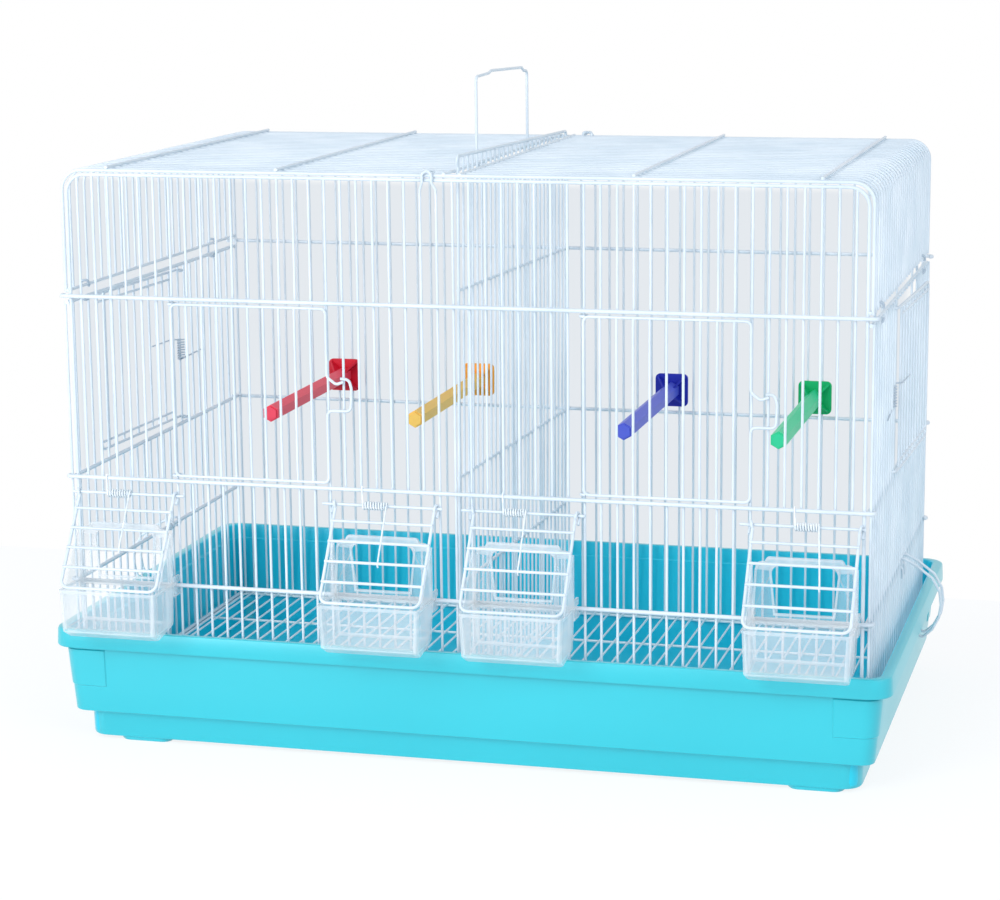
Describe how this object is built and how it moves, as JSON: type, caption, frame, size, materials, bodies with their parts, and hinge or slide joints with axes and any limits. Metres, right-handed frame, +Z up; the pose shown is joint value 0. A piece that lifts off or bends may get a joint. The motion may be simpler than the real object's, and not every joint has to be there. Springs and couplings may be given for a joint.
{
  "type": "bird breeding cage",
  "caption": "Rectangular wire bird cage with a sliding divider, front doors, outside feeder cups under wire flaps, side nest doors and a moulded tray.",
  "frame": {"origin": "on the floor under the middle of the whole object", "axes": "+X to the cage's right as seen from the front, -Y to the front, +Z up"},
  "size_m": [0.6684, 0.4086, 0.5042],
  "materials": {
    "tray": "moulded polypropylene",
    "floor_grate": "white powder coat on steel wire",
    "front_panel": "white powder coat on steel wire",
    "back_panel": "white powder coat on steel wire",
    "side_panel_left": "white powder coat on steel wire",
    "side_panel_right": "white powder coat on steel wire",
    "roof_unit": "white powder coat on steel wire",
    "ring_clip_left_front": "white powder coat on steel wire",
    "ring_clip_left_back": "white powder coat on steel wire",
    "ring_clip_right_front": "white powder coat on steel wire",
    "ring_clip_right_back": "white powder coat on steel wire",
    "roof_hook_front": "white powder coat on steel wire",
    "roof_hook_back": "white powder coat on steel wire",
    "flap_hinge_wire_1": "white powder coat on steel wire",
    "flap_hinge_wire_2": "white powder coat on steel wire",
    "flap_hinge_wire_3": "white powder coat on steel wire",
    "flap_hinge_wire_4": "white powder coat on steel wire",
    "divider": "white powder coat on steel wire",
    "carry_handle": "white powder coat on steel wire",
    "front_door_left": "white powder coat on steel wire",
    "front_door_right": "white powder coat on steel wire",
    "nest_door_left": "white powder coat on steel wire",
    "nest_door_spring_left": "white powder coat on steel wire",
    "nest_door_right": "white powder coat on steel wire",
    "nest_door_spring_right": "white powder coat on steel wire",
    "feeder_flap_1": "white powder coat on steel wire",
    "flap_spring_1": "white powder coat on steel wire",
    "feeder_flap_2": "white powder coat on steel wire",
    "flap_spring_2": "white powder coat on steel wire",
    "feeder_flap_3": "white powder coat on steel wire",
    "flap_spring_3": "white powder coat on steel wire",
    "feeder_flap_4": "white powder coat on steel wire",
    "flap_spring_4": "white powder coat on steel wire",
    "feeder_cup_1": "clear moulded polystyrene",
    "feeder_cup_2": "clear moulded polystyrene",
    "feeder_cup_3": "clear moulded polystyrene",
    "feeder_cup_4": "clear moulded polystyrene",
    "tray_latch_left": "white powder coat on steel wire",
    "tray_latch_right": "white powder coat on steel wire",
    "perch_red": "moulded polypropylene",
    "perch_orange": "moulded polypropylene",
    "perch_blue": "moulded polypropylene",
    "perch_green": "moulded polypropylene"
  },
  "bodies": {
    "cage": {"tray": "tray", "floor_grate": "floor_grate", "front_panel": "front_panel", "back_panel": "back_panel", "side_panel_left": "side_panel_left", "side_panel_right": "side_panel_right", "roof_unit": "roof_unit", "ring_clip_left_front": "ring_clip_left_front", "ring_clip_left_back": "ring_clip_left_back", "ring_clip_right_front": "ring_clip_right_front", "ring_clip_right_back": "ring_clip_right_back", "roof_hook_front": "roof_hook_front", "roof_hook_back": "roof_hook_back", "flap_hinge_wire_1": "flap_hinge_wire_1", "flap_hinge_wire_2": "flap_hinge_wire_2", "flap_hinge_wire_3": "flap_hinge_wire_3", "flap_hinge_wire_4": "flap_hinge_wire_4"},
    "divider": {"divider": "divider"},
    "carry_handle": {"carry_handle": "carry_handle"},
    "front_door_left": {"front_door_left": "front_door_left"},
    "front_door_right": {"front_door_right": "front_door_right"},
    "nest_door_left": {"nest_door_left": "nest_door_left", "nest_door_spring_left": "nest_door_spring_left"},
    "nest_door_right": {"nest_door_right": "nest_door_right", "nest_door_spring_right": "nest_door_spring_right"},
    "feeder_flap_1": {"feeder_flap_1": "feeder_flap_1", "flap_spring_1": "flap_spring_1"},
    "feeder_flap_2": {"feeder_flap_2": "feeder_flap_2", "flap_spring_2": "flap_spring_2"},
    "feeder_flap_3": {"feeder_flap_3": "feeder_flap_3", "flap_spring_3": "flap_spring_3"},
    "feeder_flap_4": {"feeder_flap_4": "feeder_flap_4", "flap_spring_4": "flap_spring_4"},
    "feeder_cup_1": {"feeder_cup_1": "feeder_cup_1"},
    "feeder_cup_2": {"feeder_cup_2": "feeder_cup_2"},
    "feeder_cup_3": {"feeder_cup_3": "feeder_cup_3"},
    "feeder_cup_4": {"feeder_cup_4": "feeder_cup_4"},
    "tray_latch_left": {"tray_latch_left": "tray_latch_left"},
    "tray_latch_right": {"tray_latch_right": "tray_latch_right"},
    "perch_red": {"perch_red": "perch_red"},
    "perch_orange": {"perch_orange": "perch_orange"},
    "perch_blue": {"perch_blue": "perch_blue"},
    "perch_green": {"perch_green": "perch_green"}
  },
  "joints": [
    {"name": "front_door_left_swing", "type": "hinge", "parent": "cage", "child": "front_door_left", "pos_m": [-0.216, -0.1558, 0.2755], "axis": [0, 0, -1], "range_deg": [0, 150]},
    {"name": "front_door_right_swing", "type": "hinge", "parent": "cage", "child": "front_door_right", "pos_m": [0.096, -0.1558, 0.2755], "axis": [0, 0, -1], "range_deg": [0, 150]},
    {"name": "nest_door_left_swing", "type": "hinge", "parent": "cage", "child": "nest_door_left", "pos_m": [-0.3, 0.06654, 0.2725], "axis": [0, 0, -1], "range_deg": [0, 100], "stiffness_Nm_per_rad": 0.02, "springref_deg": -22.92, "deforming": ["nest_door_spring_left"]},
    {"name": "nest_door_right_swing", "type": "hinge", "parent": "cage", "child": "nest_door_right", "pos_m": [0.3, -0.03074, 0.2725], "axis": [0, 0, -1], "range_deg": [0, 100], "stiffness_Nm_per_rad": 0.02, "springref_deg": -22.92, "deforming": ["nest_door_spring_right"]},
    {"name": "feeder_flap_1_swing", "type": "hinge", "parent": "cage", "child": "feeder_flap_1", "pos_m": [-0.2565, -0.1586, 0.195], "axis": [-1, 0, 0], "range_deg": [0, 55], "stiffness_Nm_per_rad": 0.02, "springref_deg": -34.38, "deforming": ["flap_spring_1"]},
    {"name": "feeder_flap_2_swing", "type": "hinge", "parent": "cage", "child": "feeder_flap_2", "pos_m": [-0.054, -0.1586, 0.195], "axis": [-1, 0, 0], "range_deg": [0, 55], "stiffness_Nm_per_rad": 0.02, "springref_deg": -34.38, "deforming": ["flap_spring_2"]},
    {"name": "feeder_flap_3_swing", "type": "hinge", "parent": "cage", "child": "feeder_flap_3", "pos_m": [0.0522, -0.1586, 0.195], "axis": [-1, 0, 0], "range_deg": [0, 55], "stiffness_Nm_per_rad": 0.02, "springref_deg": -34.38, "deforming": ["flap_spring_3"]},
    {"name": "feeder_flap_4_swing", "type": "hinge", "parent": "cage", "child": "feeder_flap_4", "pos_m": [0.2564, -0.1586, 0.195], "axis": [-1, 0, 0], "range_deg": [0, 55], "stiffness_Nm_per_rad": 0.02, "springref_deg": -34.38, "deforming": ["flap_spring_4"]},
    {"name": "feeder_cup_1_pull", "type": "slide", "parent": "cage", "child": "feeder_cup_1", "axis": [0, -1, 0], "range_m": [0, 0.006]},
    {"name": "feeder_cup_2_pull", "type": "slide", "parent": "cage", "child": "feeder_cup_2", "axis": [0, -1, 0], "range_m": [0, 0.006]},
    {"name": "feeder_cup_3_pull", "type": "slide", "parent": "cage", "child": "feeder_cup_3", "axis": [0, -1, 0], "range_m": [0, 0.006]},
    {"name": "feeder_cup_4_pull", "type": "slide", "parent": "cage", "child": "feeder_cup_4", "axis": [0, -1, 0], "range_m": [0, 0.006]},
    {"name": "divider_lift", "type": "slide", "parent": "cage", "child": "divider", "axis": [0, 0, 1], "range_m": [0, 0.33]},
    {"name": "carry_handle_fold", "type": "hinge", "parent": "cage", "child": "carry_handle", "pos_m": [-0.006, 0.0172, 0.4375], "axis": [0, 1, 0], "range_deg": [-83, 0]},
    {"name": "tray_latch_left_swing", "type": "hinge", "parent": "cage", "child": "tray_latch_left", "pos_m": [-0.3, 0.0367, 0.1265], "axis": [0, 1, 0], "range_deg": [0, 100]},
    {"name": "tray_latch_right_swing", "type": "hinge", "parent": "cage", "child": "tray_latch_right", "pos_m": [0.3, 0.0367, 0.1265], "axis": [0, -1, 0], "range_deg": [0, 100]},
    {"name": "perch_red_pull", "type": "slide", "parent": "cage", "child": "perch_red", "axis": [0, -1, 0], "range_m": [0, 0.1]},
    {"name": "perch_orange_pull", "type": "slide", "parent": "cage", "child": "perch_orange", "axis": [0, -1, 0], "range_m": [0, 0.1]},
    {"name": "perch_blue_pull", "type": "slide", "parent": "cage", "child": "perch_blue", "axis": [0, -1, 0], "range_m": [0, 0.1]},
    {"name": "perch_green_pull", "type": "slide", "parent": "cage", "child": "perch_green", "axis": [0, -1, 0], "range_m": [0, 0.1]}
  ]
}
